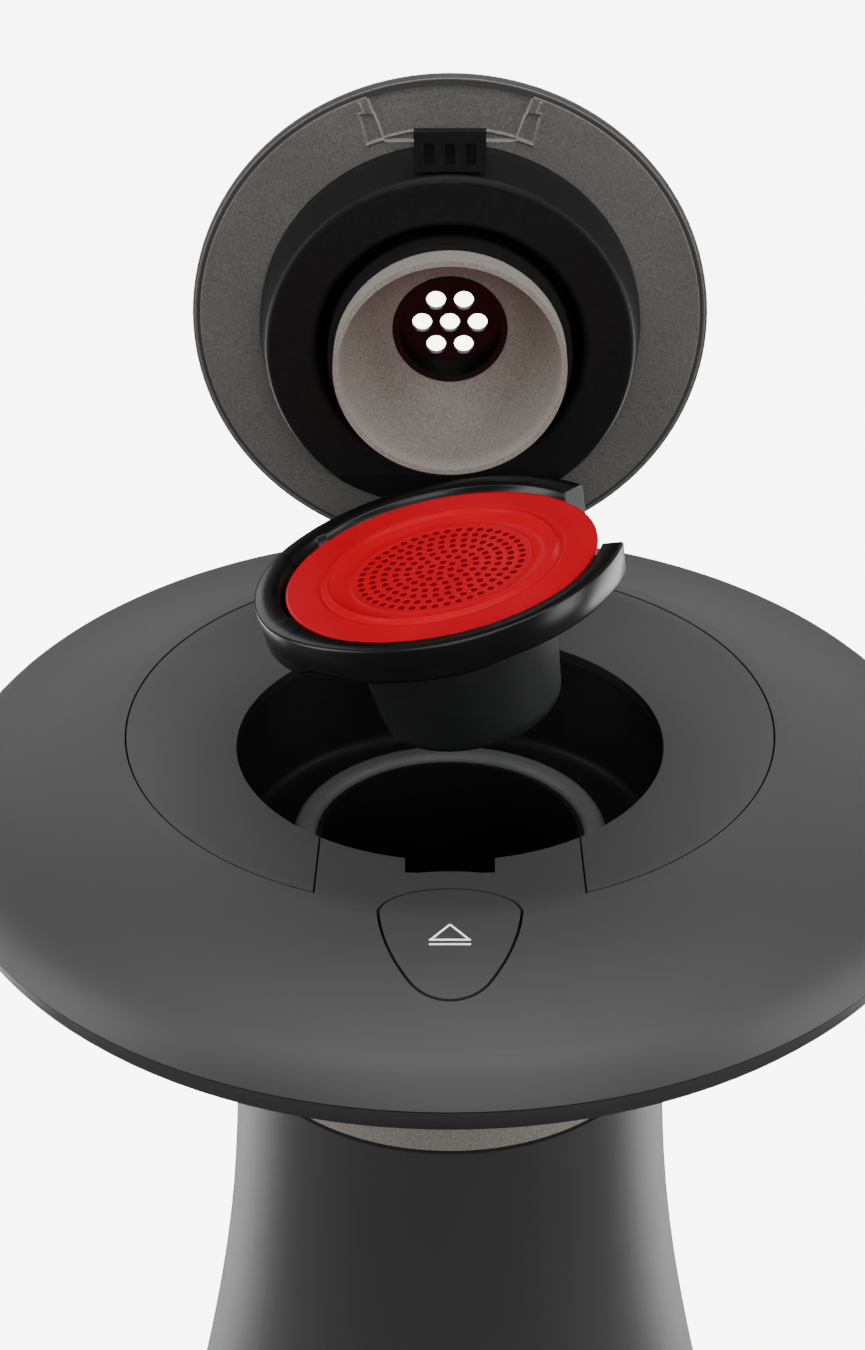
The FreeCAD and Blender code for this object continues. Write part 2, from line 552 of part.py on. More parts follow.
# ---------------------------------------------------------------- drip tray
TRAY = FreeCAD.Placement(V(0, -size("niche_y"), 0), FreeCAD.Rotation())
keep("drip_tray", turned("DripTray", [
    ("0", "foot_z + 0.3"), ("tray_rad - 2", "foot_z + 0.3", "2"), ("tray_rad", "foot_z + 2.3"),
    ("tray_rad", "tray_top"), ("tray_rad - 2", "tray_top"), ("tray_rad - 2", "tray_top - 3"),
    ("tray_rad - 4", "tray_top - 3"), ("tray_rad - 4", "foot_z + 2.5"), ("0", "foot_z + 2.5")]), TRAY)
grate = padded("DripGrate", lambda sk: circle(sk, "tray_rad - 2.4"), "tray_top - 2.9", "2.6")
slot = pocket(grate, box_outline(sketch(grate, offset="tray_top + 1"), "9", "-1.2", "27", "1.2"), "6")
polar(grate, slot, 16)
keep("drip_grate", grate, TRAY)

# ---------------------------------------------------------------- lid, drawn closed
OPEN = FreeCAD.Placement(V(), FreeCAD.Rotation(V(1, 0, 0), -SIZES["open_angle"]),
                         V(0, size("pivot_y"), size("pivot_z")))
cover = turned("LidCover", [
    ("boss_base + 0.3", "rim_z + 1.9"), ("lid_rad - 2.2", "rim_z + 1.9"), ("lid_rad - 2.2", "rim_z"),
    ("lid_rad - 0.6", "rim_z", "0.6"), ("lid_rad", "rim_z + 0.6"), ("lid_rad", "rim_z + 1.5", "60"),
    ("cover_hole + 3", "rim_z + lid_top", "3"), ("cover_hole", "rim_z + lid_top - 3"),
    ("cover_hole", "rim_z + 2.2"), ("cover_hole + 2", "rim_z + 2.2"), ("cover_hole + 2",
                                                                       "rim_z + lid_top - 4"),
    ("boss_base + 0.3", "rim_z + 6")])
keep("lid_cover", cover, OPEN)
inner = turned("LidInner", [("boss_base + 0.1", "rim_z + 0.2"), ("lid_rad - 2.4", "rim_z + 0.2"),
                            ("lid_rad - 2.4", "rim_z + 1.8"), ("boss_base + 0.1", "rim_z + 1.8")])
pocket(inner, outline(sketch(inner, offset="rim_z - 5"), [
    ("-hook_half - 10", "-53"), ("hook_half + 10", "-53"), ("hook_half + 12", "-38"), ("-hook_half - 12",
                                                                                       "-38")]),
    "5.8", True)
pocket(inner, box_outline(sketch(inner, offset="rim_z - 5"), "-hook_half + 1.1", "-44.15",
                          "hook_half - 1.1", "-38"), "12", True)
keep("lid_inner_panel", inner, OPEN)
boss = turned("LidBoss", [
    ("boss_in - 1.1", "rim_z + 6"), ("boss_in - 1.1", "rim_z - 6"), ("boss_in", "rim_z - boss_drop + 1.5",
                                                                     "1.5"),
    ("boss_in + 1.5", "rim_z - boss_drop"), ("boss_out - 1.5", "rim_z - boss_drop", "1.5"),
    ("boss_out", "rim_z - boss_drop + 1.5"), ("boss_base - 0.1", "rim_z - 3.9"), ("boss_base - 0.1",
                                                                                  "rim_z + 6")])
# The back of the boss is eased so that it clears the holder's rim as both swing down.
pocket(boss, outline(sketch(boss, "YZ_Plane", "-25"), [
    ("28", "rim_z - boss_drop - 3"), ("46", "rim_z - boss_drop - 3"), ("46", "rim_z - boss_drop + 7"),
    ("28", "rim_z - boss_drop - 1")]), "50", True)
keep("lid_boss", boss, OPEN)
BELL = "rim_z - bell_drop"
keep("lid_bell", turned("LidBell", [
    ("bell_rad - 1.2", BELL), ("bell_rad", BELL), ("bell_rad", BELL + " + 15"), ("20", "rim_z - 1"),
    ("27.6", "rim_z - 1"), ("27.6", "rim_z + 0.6"), ("bell_top", "rim_z + 0.6"), ("bell_top",
                                                                                  "rim_z - 2.9", "-16"),
    ("bell_rad - 1.2", BELL + " + 7")]), OPEN)
vent = padded("VentDisc", lambda sk: circle(sk, "bell_top + 2"), "rim_z + 0.7", "1.4")
pocket(vent, circle(sketch(vent, offset="rim_z + 5"), "vent_rad"), "12")
hole = pocket(vent, circle(sketch(vent, offset="rim_z + 5"), "vent_rad", "vent_pitch", "0"), "12")
polar(vent, hole, 6)
sleeve = cut("VentSleeve", rod("SleeveOut", "bell_top - 0.1", "4", ("0", "0", "rim_z - 3.2")),
             rod("SleeveIn", "bell_top - 1.5", "3.9", ("0", "0", "rim_z - 3.2")))
keep("vent_disc", fused("VentSolid", vent, cut("VentSleeveRing", sleeve, rod(
    "SleeveRoom", "bell_top - 1.5", "6", ("0", "0", "rim_z - 4")))), OPEN)
# The seal hugs the bell's skirt behind its bright band and closes the gap to the boss.
keep("bell_seal", turned("BellSeal", [
    ("bell_rad + 0.1", BELL + " + 5.6"), ("bell_rad + 1.3", BELL + " + 5.6"),
    ("bell_rad + 1.3", "rim_z - 8"), ("boss_in - 1.2", "rim_z - 6"), ("boss_in - 1.2", "rim_z - 3"),
    ("bell_rad + 0.1", "rim_z - 3")]), OPEN)
hook = padded("LatchHook", lambda sk: outline(sk, [
    ("hook_half", "-hook_reach"), ("hook_half", "-boss_base + 1.2"), ("-hook_half", "-boss_base + 1.2"),
    ("-hook_half", "-hook_reach")]), "rim_z - boss_drop + 1.2", "2.2")
for x in (-4.4, 0, 4.4):
    pocket(hook, box_outline(sketch(hook, offset="rim_z - boss_drop"), str(x - 1), "-hook_reach + 2.6",
                             str(x + 1),
                             "-boss_base - 0.4"), "2.2", True)
# A web behind the plate carries it from the lid; both stay clear of the boss.
hook_web = block("HookWeb", ("-hook_half + 1.25", "-44", "rim_z - boss_drop + 2"),
                 ("2 * hook_half - 2.5", "6", "boss_drop - 0.2"))
hook_clear = fused("HookClear", rod("HookClearBase", "boss_base", "20", ("0", "0",
                                                                         "rim_z - boss_drop + 3.3")),
                   rod("HookClearTip", "boss_out + 0.6", "6", ("0", "0", "rim_z - boss_drop - 2.6")))
keep("latch_hook", cut("LatchHookTrim", fused("LatchHookSolid", hook, hook_web), hook_clear), OPEN)
arm = fused("LidKnuckleSolid", rod("KnuckleBarrel", "knuckle_rad", "15", ("-7.5", "pivot_y", "pivot_z"),
                                   (1, 0, 0)),
            block("KnuckleArm", ("-7.5", "47", "pivot_z - 1"), ("15", "pivot_y - 47", "4.2")))
arm = cut("LidKnuckle", cut("KnuckleBored", arm, rod("KnuckleBore", "pin_rad + 0.05", "40",
                                                     ("-20", "pivot_y", "pivot_z"), (1, 0, 0))),
          turned("KnuckleClear", [("0", "rim_z - 10"), ("lid_rad + 0.2", "rim_z - 10"),
                                  ("lid_rad + 0.2", "rim_z + 1.8", "60"),
                                  ("cover_hole + 3.2", "rim_z + lid_top + 0.2"), ("0",
                                                                                  "rim_z + lid_top + 0.2")]))
keep("lid_knuckle", arm, OPEN)

# ---------------------------------------------------------------- hinge on the head
ears = []
for x in ("-15.8", "8"):
    ears += [block("HingeEar", (x, "pivot_y - 3.6", "284.4"), ("7.8", "7.2", "pivot_z - 284.4")),
             rod("HingeRound", "3.6", "7.8", (x, "pivot_y", "pivot_z"), (1, 0, 0))]
bracket = fused("BracketSolid", block("BracketFoot", ("-15.8", "pivot_y - 5.4", "285"),
                                      ("31.6", "10.6", "4")), *ears)
bracket = cut("BracketSeat", bracket, liner)
keep("hinge_bracket", cut("HingeBracket", bracket, rod("PinHole", "pin_rad", "26",
                                                       ("-13", "pivot_y", "pivot_z"), (1, 0, 0))))
keep("hinge_pin", rod("HingePin", "pin_rad", "26", ("-13", "pivot_y", "pivot_z"), (1, 0, 0)))

# ---------------------------------------------------------------- eject button and catch
button_form = padded("ButtonForm", lambda sk: button_outline(sk, "0"), "crest_z - 30", "40")
button_top = common("ButtonTop", dome_layer("ButtonLayer", "wall - 0.2"), button_form)
button_post = block("ButtonPost", ("-5", "-87", "crest_z - 11"), ("10", "6", "7"))
keep("eject_button", fused("EjectButton", button_top, button_post))
catch = fused("CatchSolid", block("CatchSlide", ("-6", "-66", "crest_z - 11.9"), ("12", "14", "2.6")),
              block("CatchTooth", ("-5.8", "-52.2", "crest_z - 11.9"), ("11.6", "3.2", "2.2")))
keep("lid_catch", catch)


def coil_spring(label, radius, wire, pitch, height, at, along):
    """A wound spring as a round wire along a helix."""
    helix = Part.makeHelix(pitch, height, radius)
    ring = Part.Wire(Part.makeCircle(wire, V(radius, 0, 0), V(0, 1, 0)))
    obj = doc.addObject("Part::Feature", label)
    obj.Shape = Part.Wire(helix.Edges).makePipeShell([ring], True, True)
    obj.Placement = FreeCAD.Placement(V(*at), FreeCAD.Rotation(UP, V(*along)))
    return keep(label, obj)


coil_spring("catch_spring", 1.9, 0.3, 1.6, 8, (0, -77.2, 281.6), (0, 1, 0))
coil_spring("button_spring", 2.6, 0.3, 1.6, 6.4, (0, -84, 273.9), (0, 0, 1))
keep("latch_carrier", fused("LatchCarrier", block("CarrierFloor", ("-10", "-89", "crest_z - 20.5"),
                                                  ("20", "36", "1.6")),
                            block("CarrierBack", ("-10", "-79.8", "crest_z - 20"), ("20", "2", "13")),
                            *[block("CarrierLeg", (x, "-76", TOP + "under_drop + wall + 1.8"),
                                    ("3", "5", "5"))
                              for x in ("-10", "7")]))

# ---------------------------------------------------------------- pod and holder, drawn seated
swing_axis = (FACING - UP).cross(LIFT).normalize()
flat = [v - swing_axis * v.dot(swing_axis) for v in (FACING, UP)]
swing = math.degrees(flat[0].getAngle(flat[1]))
seated = V(0, 0, size("seat_z"))
chord = LIFT - swing_axis * LIFT.dot(swing_axis)
pole = seated + LIFT * 0.5 + swing_axis.cross(chord) * (0.5 / math.tan(math.radians(swing) / 2))
trials = [(FreeCAD.Placement(V(), FreeCAD.Rotation(swing_axis, -swing), p), p)
          for p in (pole, seated * 2 + LIFT - pole)]
LIFTED, pole = min(trials, key=lambda t: (t[0].multVec(seated) - seated - LIFT).Length)
print("holder swing", swing, "axis", swing_axis, "pole", pole, "error",
      (LIFTED.multVec(seated) - seated - LIFT).Length)

SEAT = "seat_z - "
ring = turned("HolderRing", [
    ("ring_in", "seat_z"), ("ring_in", SEAT + "1.6"), ("ledge_in", SEAT + "1.6"),
    ("ledge_in", SEAT + "1.6 - ledge_thick"), ("ring_in", SEAT + "1.6 - ledge_thick"),
    ("ring_in", SEAT + "ring_high"), ("ring_rad", SEAT + "ring_high"), ("ring_rad", "seat_z")])
pocket(ring, box_outline(sketch(ring, offset="seat_z - 2.9"), "30", "-2", "45", "14"), "20")
pocket(ring, outline(sketch(ring, offset="seat_z - 5.4"), [("-28", "-60"), ("60", "-60"), ("60", "-12"),
                                                           ("20", "-12")]), "20")
lug = common("HolderLug", block("LugBlock", ("-44", "-20", SEAT + "ring_high"), ("12", "14", "ring_high")),
             cut("LugRing", rod("LugOut", "ring_rad + 2", "ring_high", ("0", "0", SEAT + "ring_high")),
                 rod("LugIn", "ring_in + 0.5", "ring_high + 4", ("0", "0", SEAT + "ring_high - 2"))))
keep("pod_holder", fused("PodHolder", ring, lug), LIFTED)
keep("pod_cup", turned("PodCup", [
    ("pod_rad", SEAT + "pod_sheet"), ("pod_rad", SEAT + "2 * pod_sheet"), ("pod_top",
                                                                           SEAT + "2 * pod_sheet"),
    ("pod_low", SEAT + "pod_deep + 2", "-2"), ("pod_low - 2", SEAT + "pod_deep"), ("0", SEAT + "pod_deep"),
    ("0", SEAT + "pod_deep + 0.8"), ("pod_low - 2", SEAT + "pod_deep + 0.8"), ("pod_top - 0.8",
                                                                               SEAT + "pod_sheet")]), LIFTED)
keep("pod_lid", turned("PodLid", [
    ("0", "seat_z"), ("24", "seat_z"), ("24.5", SEAT + "0.35"), ("25.5", SEAT + "0.35"), ("26", "seat_z"),
    ("pod_rad", "seat_z"), ("pod_rad", SEAT + "pod_sheet"), ("0", SEAT + "pod_sheet")]), LIFTED)

# ---------------------------------------------------------------- check and write
doc.recompute()
failed = [obj.Name for obj in doc.Objects if "Invalid" in obj.State or "Error" in obj.State]
if failed:
    raise RuntimeError("failed: " + ", ".join(failed))
os.makedirs("parts", exist_ok=True)
for old in os.listdir("parts"):
    os.remove(os.path.join("parts", old))
for label, obj in NODES.items():
    shape = obj.Shape
    if shape.isNull() or not shape.isValid():
        raise RuntimeError("%s has no valid shape" % label)
    shape.exportStep("parts/%s.step" % label)
print(len(NODES), "nodes written")
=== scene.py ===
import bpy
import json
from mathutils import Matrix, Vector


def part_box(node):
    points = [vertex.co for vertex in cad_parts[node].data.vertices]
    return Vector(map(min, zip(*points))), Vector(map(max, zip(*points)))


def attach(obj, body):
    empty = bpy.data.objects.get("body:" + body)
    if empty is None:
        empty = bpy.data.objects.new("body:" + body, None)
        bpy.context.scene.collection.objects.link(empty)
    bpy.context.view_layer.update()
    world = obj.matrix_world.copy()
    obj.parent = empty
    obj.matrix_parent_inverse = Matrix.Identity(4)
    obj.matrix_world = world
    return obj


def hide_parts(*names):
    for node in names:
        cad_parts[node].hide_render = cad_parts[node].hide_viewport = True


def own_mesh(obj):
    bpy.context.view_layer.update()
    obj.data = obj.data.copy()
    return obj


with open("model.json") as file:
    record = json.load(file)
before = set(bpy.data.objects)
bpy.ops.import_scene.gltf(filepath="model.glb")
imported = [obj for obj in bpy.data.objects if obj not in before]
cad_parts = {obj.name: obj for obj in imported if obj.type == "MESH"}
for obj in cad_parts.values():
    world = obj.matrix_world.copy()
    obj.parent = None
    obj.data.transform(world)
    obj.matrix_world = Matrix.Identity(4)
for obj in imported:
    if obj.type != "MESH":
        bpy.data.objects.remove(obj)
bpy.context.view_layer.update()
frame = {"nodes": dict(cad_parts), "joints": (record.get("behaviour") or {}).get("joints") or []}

import json
import math

import bmesh
import bpy
import numpy as np
from mathutils import Matrix, Vector

MM = 0.001
NODES = frame["nodes"]


# ------------------------------------------------------------------ camera, floor and light
# The view is from in front and above, down the slope of the open lid, in broad soft light.
# Everything is placed from the height where the lines of the head's dish and dome meet.
crest = 0.292
look_down = math.radians(31.52)
eye_distance = 0.5833
eye = Vector((0, -eye_distance * math.cos(look_down), crest + eye_distance * math.sin(look_down)))
lens = bpy.data.cameras.new("camera")
lens.lens = 71.97
lens.sensor_width = 36
lens.sensor_fit = "AUTO"
lens.shift_x = -0.01296
lens.shift_y = 0.0327
lens.clip_start = 0.01
camera = bpy.data.objects.new("camera", lens)
camera.location = eye
camera.rotation_euler = (math.pi / 2 - look_down, 0, 0)
bpy.context.scene.collection.objects.link(camera)
bpy.context.scene.camera = camera


def area_light(name, place, target, size, power):
    """A soft square lamp that faces a point."""
    lamp = bpy.data.lights.new(name, "AREA")
    lamp.shape = "RECTANGLE"
    lamp.size, lamp.size_y = size
    lamp.energy = power
    obj = bpy.data.objects.new(name, lamp)
    obj.location = place
    obj.rotation_euler = (Vector(target) - Vector(place)).to_track_quat("-Z", "Y").to_euler()
    bpy.context.scene.collection.objects.link(obj)
    return obj


area_light("key_panel", (0.05, -0.3, 1.5), (0, 0, crest), (1.5, 0.8), 13)
area_light("back_panel", (0, 1.5, 0.95), (0, 0, crest), (2.4, 0.6), 9)
for direction, hand in ((-1, "left"), (1, "right")):
    low_panel = area_light("low_%s_panel" % hand, (direction * 0.5, 0.3, 0.02), (0, 0, 0.15), (0.35, 0.5), 3.3)
    low_panel.visible_camera = False
area_light("left_panel", (-1.25, -0.25, 0.5), (0, 0, 0.25), (0.5, 1.3), 11.5)
area_light("right_panel", (1.25, -0.3, 0.5), (0, 0, 0.25), (0.5, 1.3), 11.5)
area_light("front_panel", (0.1, -1.4, 1.0), (0, 0, crest), (1.0, 0.4), 8)
world = bpy.data.worlds.new("room")
world.use_nodes = True
world.node_tree.nodes["Background"].inputs["Color"].default_value = (0.93, 0.93, 0.925, 1)
world.node_tree.nodes["Background"].inputs["Strength"].default_value = 0.16
bpy.context.scene.world = world


class Value:
    """A shader socket with Python arithmetic: each operator adds one Math node."""

    def __init__(self, tree, socket):
        self.tree = tree
        self.socket = socket

    def maths(self, operation, *others):
        node = self.tree.nodes.new("ShaderNodeMath")
        node.operation = operation
        for slot, other in zip(node.inputs, others):
            if isinstance(other, Value):
                self.tree.links.new(other.socket, slot)
            else:
                slot.default_value = other
        return Value(self.tree, node.outputs[0])

    def __add__(self, other):
        return self.maths("ADD", self, other)

    def __sub__(self, other):
        return self.maths("SUBTRACT", self, other)

    def __rsub__(self, other):
        return self.maths("SUBTRACT", other, self)

    def __mul__(self, other):
        return self.maths("MULTIPLY", self, other)

    __radd__ = __add__
    __rmul__ = __mul__

    def above(self, painted_shade_faces):
        return self.maths("GREATER_THAN", self, painted_shade_faces)


class Finish:
    """One procedural material on a Principled shader, patterned in object space."""

    def __init__(self, name, colour, roughness, **constants):
        self.material = bpy.data.materials.new(name)
        self.material.use_nodes = True
        self.tree = self.material.node_tree
        self.shader = self.tree.nodes["Principled BSDF"]
        self.colour = (*colour, 1)
        self.shader.inputs["Base Color"].default_value = self.colour
        self.shader.inputs["Roughness"].default_value = roughness
        for key, value in constants.items():
            self.shader.inputs[key.replace("_", " ")].default_value = value
        self.place = self.node("ShaderNodeTexCoord", {}, {}, "Object")

    def node(self, kind, settings, inputs, output=0):
        """Any node: its settings first, then values or links for its sockets."""
        node = self.tree.nodes.new(kind)
        for key, value in settings.items():
            setattr(node, key, value)
        for key, value in inputs.items():
            if isinstance(value, Value):
                self.tree.links.new(value.socket, node.inputs[key])
            else:
                node.inputs[key].default_value = value
        return Value(self.tree, node.outputs[output])

    def noise(self, per_metre, detail=2, rough=0.5, place=None):
        return self.node("ShaderNodeTexNoise", {}, {
            "Vector": place or self.place, "Scale": per_metre, "Detail": detail, "Roughness": rough})

    def stretched(self, x, y, z):
        """Object coordinates squeezed along chosen axes, for drawn or brushed grain."""
        return self.node("ShaderNodeMapping", {}, {"Vector": self.place, "Scale": (x, y, z)})

    def tint(self, amount, dark, light):
        """Base colour between two shades of the finish's own colour."""
        base = Vector(self.colour[:3])
        mixed = self.node("ShaderNodeMix", {"data_type": "RGBA", "clamp_factor": True},
                          {0: amount, 6: (*(base * dark), 1), 7: (*(base * light), 1)}, 2)
        self.feed("Base Color", mixed)
        return mixed

    def coordinate(self, axis):
        return self.node("ShaderNodeSeparateXYZ", {}, {0: self.place}, axis)

    def feed(self, socket, value):
        self.tree.links.new(value.socket, self.shader.inputs[socket])

    def bump(self, height, distance, strength=1.0):
        self.feed("Normal", self.node("ShaderNodeBump", {}, {
            "Height": height, "Distance": distance, "Strength": strength}))


def coat_node(node, finish):
    """Gives a CAD node its finish."""
    slots = NODES[node].data.materials
    slots.clear()
    slots.append(finish.material)


# The floor is a plain pale sheet, lit evenly so that it reads as a seamless backdrop.
floor_paint = Finish("backdrop_paint", (0.9, 0.895, 0.885), 0.9)
floor_paint.shader.inputs["Emission Color"].default_value = (0.93, 0.925, 0.915, 1)
floor_paint.shader.inputs["Emission Strength"].default_value = 7.3
floor_mesh = bpy.data.meshes.new("backdrop")
reach = 6
corners = [(-reach, -reach, 0), (reach, -reach, 0), (reach, reach, 0), (-reach, reach, 0)]
floor_mesh.from_pydata(corners, [], [(0, 1, 2, 3)])
floor_mesh.materials.append(floor_paint.material)
floor = bpy.data.objects.new("backdrop", floor_mesh)
bpy.context.scene.collection.objects.link(floor)
floor.visible_diffuse = False
floor.visible_glossy = False


def grid_piece(name, points, closed_u, closed_v, finish, body, flip=False):
    """A piece from a grid of points worked out as one array of (u, v, xyz).

    Neighbouring grid points share a quad, and either direction may close on itself.
    """
    quads = grid_quads(*points.shape[:2], closed_u, closed_v)
    if flip:
        quads = quads[:, ::-1]
    return mesh_piece(name, points.reshape(-1, 3), quads, finish, body)


def grid_quads(rows, cols, closed_u, closed_v):
    """Four point numbers for each cell of a grid of rows by columns."""
    index = np.arange(rows * cols).reshape(rows, cols)
    u = np.arange(rows if closed_u else rows - 1)
    v = np.arange(cols if closed_v else cols - 1)
    a, b = np.meshgrid(u, v, indexing="ij")
    return np.stack([index[a, b], index[(a + 1) % rows, b], index[(a + 1) % rows, (b + 1) % cols],
                     index[a, (b + 1) % cols]], -1).reshape(-1, 4)


def mesh_piece(name, points, faces, finish, body, weld=1e-8):
    """A finished piece from arrays of points and faces, welded, smooth-shaded and attached to its body."""
    mesh = bpy.data.meshes.new(name)
    mesh.from_pydata(points.tolist(), [], faces.tolist())
    if weld:
        weld_doubles(mesh, weld)
    mesh.validate()
    mesh.materials.append(finish.material)
    mesh.polygons.foreach_set("use_smooth", [True] * len(mesh.polygons))
    piece = bpy.data.objects.new(name, mesh)
    bpy.context.scene.collection.objects.link(piece)
    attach(piece, body)
    return piece


def weld_doubles(mesh, distance):
    """Joins the points of a mesh that lie at the same place, so that its poles and seams close."""
    shape = bmesh.new()
    shape.from_mesh(mesh)
    bmesh.ops.remove_doubles(shape, verts=shape.verts, dist=distance)
    shape.to_mesh(mesh)
    shape.free()


def rounded(corners, step=6):
    """An outline whose corners (r, z, radius) are rounded by arcs of a few points each.

    Each arc is the circle of the given radius that touches both sides of its corner.
    """
    result = []
    for i, (r, z, radius) in enumerate(corners):
        here = np.array((r, z), float)
        if radius == 0:
            result.append(here)
            continue
        before = np.array(corners[i - 1][:2], float) - here
        after = np.array(corners[(i + 1) % len(corners)][:2], float) - here
        before /= np.linalg.norm(before)
        after /= np.linalg.norm(after)
        half = math.acos(np.clip(before @ after, -1, 1)) / 2
        middle = here + (before + after) / np.linalg.norm(before + after) * radius / math.sin(half)
        start = here + before * radius / math.tan(half) - middle
        end = here + after * radius / math.tan(half) - middle
        turn = math.pi - 2 * half
        for t in np.linspace(0, 1, step):
            spoke = start * math.sin((1 - t) * turn) + end * math.sin(t * turn)
            result.append(middle + spoke / math.sin(turn))
    return np.array(result)


def turned_points(outline, count):
    """A surface of revolution about Z: each outline point (r, z) goes round the axis."""
    angle = np.linspace(0, 2 * math.pi, count, endpoint=False)[:, None]
    r, z = outline[None, :, 0], outline[None, :, 1]
    return np.stack([r * np.cos(angle), r * np.sin(angle), z + 0 * angle], -1)


def moved(points, matrix):
    """Points in millimetres taken through a placement, into metres."""
    flat = points.reshape(-1, 3) @ np.array(matrix.to_3x3()).T + np.array(matrix.translation)
    return (flat * MM).reshape(points.shape)


# ------------------------------------------------------------------ shells of head and stem
# The casing is injection-moulded ABS with a fine spark-eroded grain and a low sheen.
# The upper shell, the dish panel, the lower shell, the stem and the button share it.
charcoal = Finish("charcoal_casing", (0.039, 0.039, 0.04), 0.5, Specular_IOR_Level=0.6)
grain = charcoal.noise(2300, 3, 0.6)
cloud = charcoal.noise(26, 2)
speckled = charcoal.tint(grain * 0.6 + cloud * 0.4, 0.82, 1.2)
# Painted shade: the panel's inner edge, where it meets the chamber, is coloured near black below its top face,
# standing in for the shade inside the mouth.
mouth_radius, mouth_top = 0.04656, crest - 0.0053
painted_shade_black = (0.002, 0.002, 0.002, 1)
x, y, z = (charcoal.coordinate(axis) for axis in range(3))
mouth_wall_painted_shade = (mouth_radius ** 2 - (x * x + y * y)).above(0) * (mouth_top - z).above(0)
charcoal.feed("Base Color", charcoal.node("ShaderNodeMix", {"data_type": "RGBA"}, {
    0: mouth_wall_painted_shade, 6: speckled, 7: painted_shade_black}, 2))
charcoal.feed("Roughness", 0.45 + grain * 0.16)
charcoal.bump(grain, 0.00006, 0.35)
for node in ("head_upper_shell", "top_panel", "head_lower_shell", "stem_shell", "eject_button",
             "lid_cover", "lid_knuckle"):
    coat_node(node, charcoal)

# ------------------------------------------------------------------ collar and bell
# The collar under the head and the bell in the lid are painted a taupe metallic:
# a satin coat with fine flake that sparkles under a soft lamp.
taupe = Finish("taupe_coat", (0.31, 0.29, 0.258), 0.6, Metallic=0.2)
flake = taupe.noise(2300, 2, 0.7)
taupe.tint(flake, 0.2, 1.8)
taupe.feed("Roughness", 0.5 + flake * 0.2)
taupe.bump(flake, 0.00005, 0.3)
coat_node("neck_collar", taupe)
coat_node("lid_bell", taupe)

# ------------------------------------------------------------------ dark mouldings
# The chamber, the boss, the hook and the chassis are matte black nylon, moulded in tools
# with a light texture.
black = Finish("black_nylon", (0.0085, 0.0085, 0.0088), 0.5, Specular_IOR_Level=0.15)
bloom = black.noise(900, 3)
black.tint(bloom, 0.7, 1.5)
black.feed("Roughness", 0.40 + bloom * 0.14)
black.bump(bloom, 0.00004, 0.4)
for node in ("chamber_liner", "brew_well", "latch_hook", "lid_boss", "niche_liner", "base_plate", "tank_lid",
             "tank_valve", "tank_dock", "chassis_frame", "bay_floor", "rear_panel", "power_inlet",
             "power_switch_housing", "flow_meter_body", "lid_switch", "spout_body", "drip_tray", "drip_grate",
             "hinge_bracket", "lid_catch", "latch_carrier"):
    coat_node(node, black)

# ------------------------------------------------------------------ polished black parts
# The hole disc, the holder and the rocker come from a polished mould and have a soft gloss.
gloss = Finish("polished_black", (0.003, 0.003, 0.0032), 0.3, Specular_IOR_Level=0.35)
smear = gloss.noise(70, 3)
gloss.feed("Roughness", 0.22 + smear * 0.14)
gloss.tint(smear, 0.8, 1.3)
for node in ("vent_disc", "power_rocker"):
    coat_node(node, gloss)

# ------------------------------------------------------------------ rubber
# Silicone rubber, dusty and soft: the raised seat ring, the feet, the pump's mounts and the spout's tip. The
# bell's seal takes the black nylon finish.
rubber = Finish("silicone_rubber", (0.11, 0.111, 0.113), 0.42, Specular_IOR_Level=0.5)
dust = rubber.noise(1500, 2)
rubber.tint(dust, 0.8, 1.25)
rubber.feed("Roughness", 0.42 + dust * 0.18)
rubber.bump(dust, 0.00003, 0.4)
for node in ("seat_ring", "rubber_feet", "pump_mounts", "spout_nozzle"):
    coat_node(node, rubber)
coat_node("bell_seal", black)

# ------------------------------------------------------------------ steel pieces
# Stainless pins, springs, screws, the outlet and the pump's case, with turned scratches.
steel = Finish("stainless_steel", (0.55, 0.55, 0.56), 0.3, Metallic=1.0)
scratch = steel.noise(60, 4, 0.7, steel.stretched(1, 1, 40))
steel.tint(scratch, 0.75, 1.1)
steel.feed("Roughness", 0.2 + scratch * 0.25)
steel.bump(scratch, 0.00003, 0.3)
for node in ("hinge_pin", "catch_spring", "button_spring", "base_screws", "outlet_nozzle", "pump_body"):
    coat_node(node, steel)

# ------------------------------------------------------------------ heater
# A die-cast aluminium block with the pebbled skin of sand-blasted casting.
alloy = Finish("cast_alloy", (0.5, 0.5, 0.51), 0.5, Metallic=0.9)
pebble = alloy.noise(700, 4)
alloy.tint(pebble, 0.7, 1.1)
alloy.feed("Roughness", 0.4 + pebble * 0.2)
alloy.bump(pebble, 0.0001, 0.6)
coat_node("thermoblock", alloy)

# ------------------------------------------------------------------ tank
# Smoke-tinted copolyester: clear enough to see the water line, darker in its thickness.
smoke = Finish("smoke_tank", (0.035, 0.036, 0.038), 0.12, Transmission_Weight=0.35, IOR=1.5)
haze = smoke.noise(45, 3)
smoke.tint(haze, 0.8, 1.3)
smoke.feed("Roughness", 0.08 + haze * 0.08)
coat_node("water_tank", smoke)

# ------------------------------------------------------------------ small inner pieces
# Translucent silicone hoses, the acetal rotor and the green circuit board.
clear = Finish("silicone_hose", (0.62, 0.61, 0.57), 0.35, Subsurface_Weight=0.2)
milk = clear.noise(200, 2)
clear.tint(milk, 0.85, 1.05)
clear.feed("Roughness", 0.28 + milk * 0.15)
for node in ("inlet_hose", "pump_hose", "hot_hose", "brew_hose"):
    coat_node(node, clear)
acetal = Finish("white_acetal", (0.72, 0.71, 0.68), 0.35)
acetal.tint(acetal.noise(300, 2), 0.93, 1.02)
coat_node("flow_meter_rotor", acetal)
board = Finish("circuit_board", (0.02, 0.13, 0.055), 0.35)
weave = (board.noise(2500, 1) + board.noise(120, 2)) * 0.5
board.tint(weave, 0.7, 1.2)
board.bump(weave, 0.00003, 0.5)
coat_node("control_board", board)

